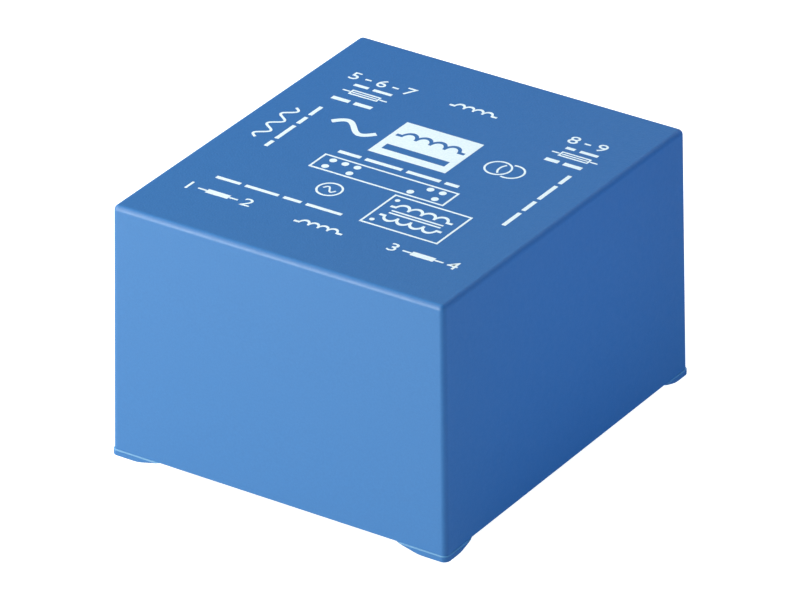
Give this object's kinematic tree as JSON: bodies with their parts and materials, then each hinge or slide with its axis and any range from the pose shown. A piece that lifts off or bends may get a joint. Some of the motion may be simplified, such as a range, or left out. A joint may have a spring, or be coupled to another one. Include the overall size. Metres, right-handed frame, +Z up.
{
  "type": "pcb transformer",
  "caption": "Encapsulated mains transformer for circuit boards: a drafted blue moulded housing on low corner feet, resin-filled round a laminated core and windings, with solder pins below.",
  "frame": {"origin": "centre of the seating plane, which is the underside of the corner feet, in the middle of the pin pattern", "axes": "+Z up through the top face, +Y along the housing from the primary pins to the secondary pins, +X across it; the pins reach 4 mm below the origin"},
  "size_m": [0.061, 0.0694, 0.0468],
  "materials": {
    "housing_plastic": "fine-grained satin",
    "resin": "smooth cast",
    "core_steel": "cut sheet",
    "former_plastic": "moulded",
    "winding_copper": "enamelled",
    "tape": "film",
    "tinned_pin": "tinned"
  },
  "bodies": {
    "root": {"housing": "housing_plastic", "u_laminations": "core_steel", "i_laminations": "core_steel", "coil_former_left": "former_plastic", "coil_former_right": "former_plastic", "primary_winding_left": "winding_copper", "primary_winding_right": "winding_copper", "secondary_winding_left": "winding_copper", "secondary_winding_right": "winding_copper", "primary_tape_left": "tape", "primary_tape_right": "tape", "secondary_tape_left": "tape", "secondary_tape_right": "tape", "pin_primary_1": "tinned_pin", "pin_primary_2": "tinned_pin", "pin_primary_3": "tinned_pin", "pin_primary_4": "tinned_pin", "pin_secondary_1": "tinned_pin", "pin_secondary_2": "tinned_pin", "pin_secondary_3": "tinned_pin", "pin_secondary_4": "tinned_pin", "pin_secondary_5": "tinned_pin", "lead_primary_1": "winding_copper", "lead_primary_2": "winding_copper", "lead_primary_3": "winding_copper", "lead_primary_4": "winding_copper", "lead_secondary_1": "winding_copper", "lead_secondary_2": "winding_copper", "lead_secondary_3": "winding_copper", "lead_secondary_4": "winding_copper", "lead_secondary_5": "winding_copper", "potting_resin": "resin"}
  },
  "joints": []
}
